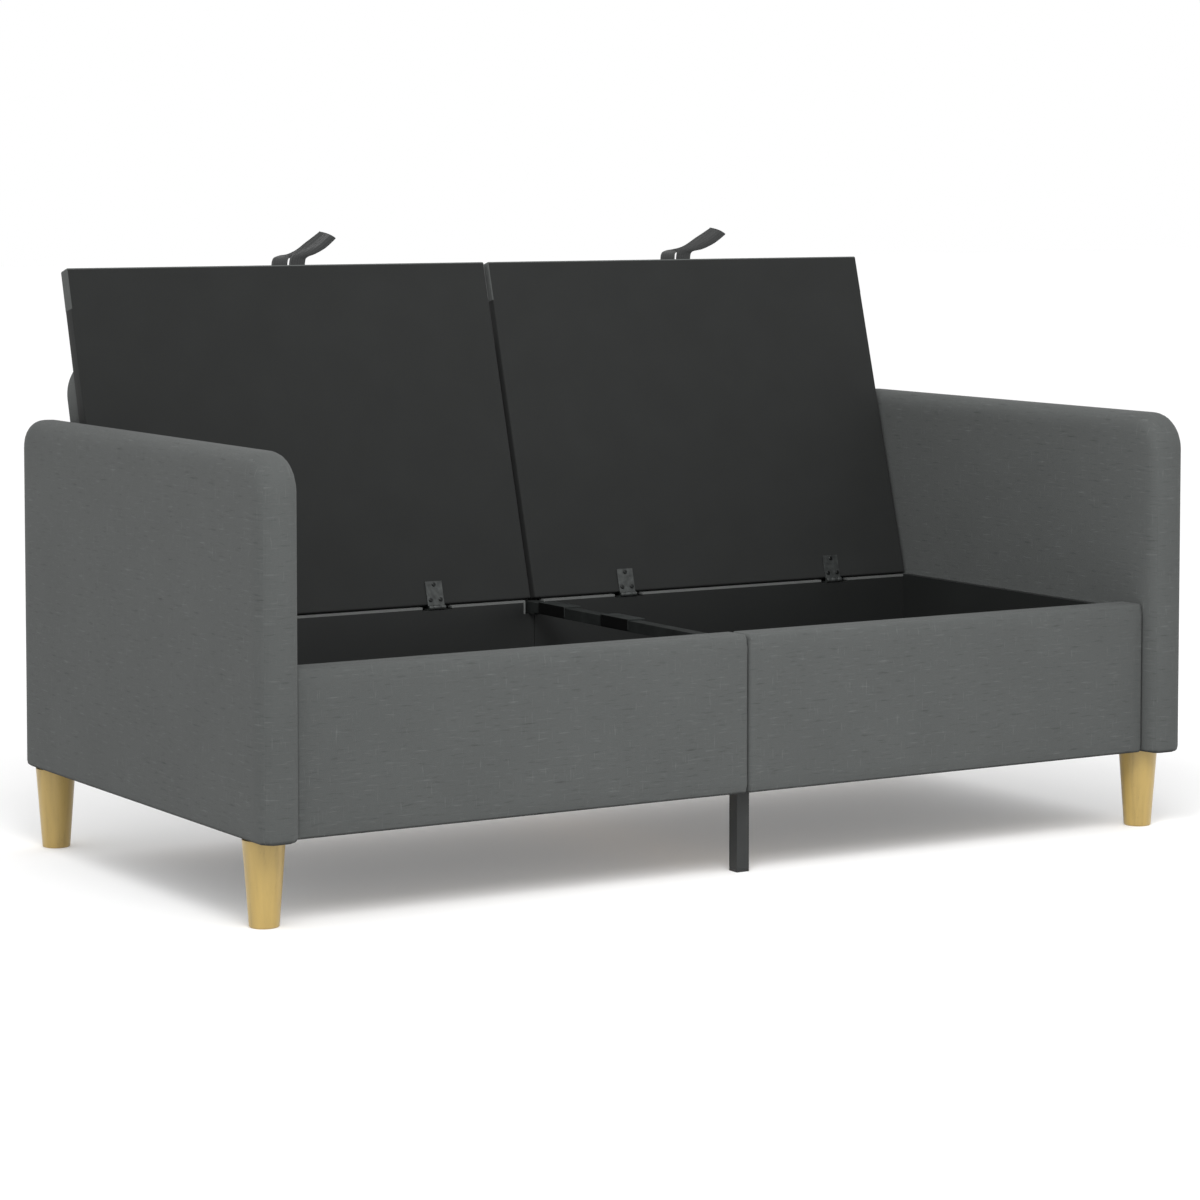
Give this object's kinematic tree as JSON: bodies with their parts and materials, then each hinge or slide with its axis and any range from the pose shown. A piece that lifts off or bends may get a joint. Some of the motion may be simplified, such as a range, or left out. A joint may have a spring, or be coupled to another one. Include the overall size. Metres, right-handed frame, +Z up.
{
  "type": "storage sofa",
  "caption": "Compact storage sofa with slim padded arms, a leaning backrest and hinged seat lids with pull straps, standing open over a storage box on tapered wooden legs.",
  "frame": {"origin": "on the floor, under the middle of the sofa's outline", "axes": "+X along the seat to the sitter's left, that is to the right as seen from the front; +Y from the front to the back; +Z up"},
  "size_m": [1.52, 0.79, 0.887],
  "materials": {
    "sofa_fabric": "fine linen-like weave, matt",
    "lid_lining": "thin non-woven cloth, matt",
    "strap_webbing": "ribbed webbing, slight sheen",
    "frame_wood": "planed softwood",
    "board_black": "board with a black face, matt",
    "board_edging": "pale grey edging, matt",
    "leg_wood": "light beech, satin lacquer",
    "steel_black": "black powder coat",
    "steel_grey": "grey powder coat",
    "steel_zinc": "zinc plated",
    "foot_plastic": "black plastic"
  },
  "bodies": {
    "sofa": {"arm_frame_left": "frame_wood", "arm_frame_right": "frame_wood", "arm_cover_left": "sofa_fabric", "arm_cover_right": "sofa_fabric", "front_frame_left": "frame_wood", "front_frame_right": "frame_wood", "front_cover_left": "sofa_fabric", "front_cover_right": "sofa_fabric", "rear_frame_left": "board_black", "rear_frame_right": "board_black", "rear_cover_left": "sofa_fabric", "rear_cover_right": "sofa_fabric", "rear_board_left": "board_black", "rear_board_right": "board_black", "rear_edging_left": "board_edging", "rear_edging_right": "board_edging", "side_board_left": "board_black", "side_board_right": "board_black", "floor_board_left": "board_black", "floor_board_right": "board_black", "floor_cleats": "frame_wood", "centre_rail": "steel_black", "rail_hangers": "steel_black", "saddle_plates": "steel_grey", "back_frame_left": "frame_wood", "back_frame_right": "frame_wood", "back_cover_left": "sofa_fabric", "back_cover_right": "sofa_fabric", "back_stays": "steel_black", "leg_front_left": "leg_wood", "leg_front_right": "leg_wood", "leg_rear_left": "leg_wood", "leg_rear_right": "leg_wood", "leg_bolts": "steel_zinc", "leg_inserts": "steel_zinc", "centre_leg": "steel_black", "centre_leg_foot": "foot_plastic", "corner_brackets": "steel_grey", "arm_bolts": "steel_zinc", "arm_inserts": "steel_zinc", "frame_screws": "steel_zinc", "hinge_base_leaves": "steel_zinc", "hinge_pins": "steel_zinc", "hinge_base_screws": "steel_zinc"},
    "lid_left": {"lid_board_left": "frame_wood", "lid_lining_left": "lid_lining", "lid_band_left": "sofa_fabric", "hinge_lid_leaves_left": "steel_zinc", "hinge_lid_screws_left": "steel_zinc", "pull_strap_left": "strap_webbing"},
    "lid_right": {"lid_board_right": "frame_wood", "lid_lining_right": "lid_lining", "lid_band_right": "sofa_fabric", "hinge_lid_leaves_right": "steel_zinc", "hinge_lid_screws_right": "steel_zinc", "pull_strap_right": "strap_webbing"}
  },
  "joints": [
    {"name": "lid_left_hinge", "type": "hinge", "parent": "sofa", "child": "lid_left", "pos_m": [-0.3605, 0.21808, 0.3265], "axis": [1, 0, 0], "range_deg": [0, 105.75]},
    {"name": "lid_right_hinge", "type": "hinge", "parent": "sofa", "child": "lid_right", "pos_m": [0.3605, 0.21808, 0.3265], "axis": [1, 0, 0], "range_deg": [0, 105.75]}
  ]
}
